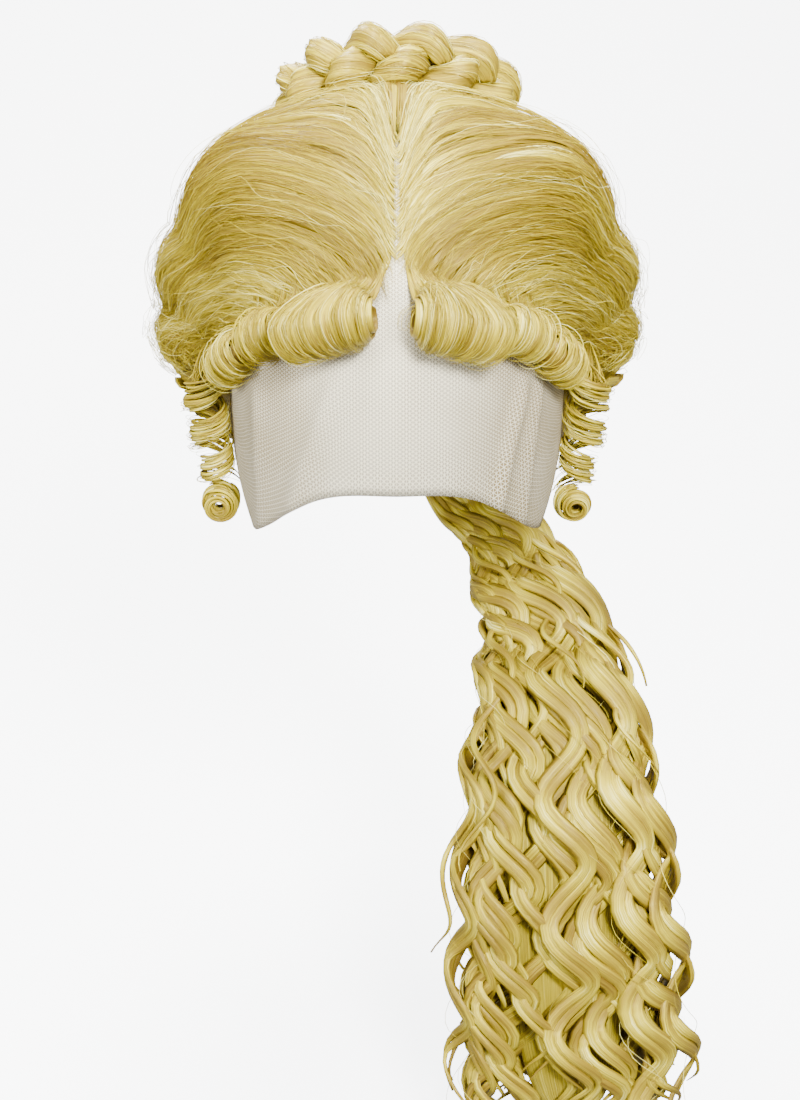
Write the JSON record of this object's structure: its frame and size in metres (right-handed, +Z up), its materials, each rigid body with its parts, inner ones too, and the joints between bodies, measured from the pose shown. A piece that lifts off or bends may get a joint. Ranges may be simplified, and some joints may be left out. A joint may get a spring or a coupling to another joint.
{
  "type": "braided lace front wig",
  "caption": "Blonde lace front wig with a centre parting, swept sides, rolled hairline curls, a braided bun and a long curly side ponytail.",
  "frame": {"origin": "inside of the cap at the crown, where the head carries the wig", "axes": "+Z up, wearer faces -Y, wearer's left is +X"},
  "size_m": [0.2596, 0.2297, 0.569],
  "materials": {
    "cap_net": "stretch net, matt",
    "lace": "fine sheer net, matt",
    "blonde_hair": "synthetic fibre, satin sheen"
  },
  "bodies": {
    "root": {"cap": "cap_net", "lace_front": "lace", "swept_left": "blonde_hair", "swept_right": "blonde_hair", "back_hair": "blonde_hair", "braid_strand_1": "blonde_hair", "braid_strand_2": "blonde_hair", "braid_strand_3": "blonde_hair", "bun_knot": "blonde_hair", "curl_brow_left": "blonde_hair", "curl_brow_right": "blonde_hair", "curl_temple_left": "blonde_hair", "curl_temple_right": "blonde_hair", "curl_side_left": "blonde_hair", "curl_side_right": "blonde_hair", "ringlet_left": "blonde_hair", "ringlet_right": "blonde_hair", "ponytail": "blonde_hair"}
  },
  "joints": []
}
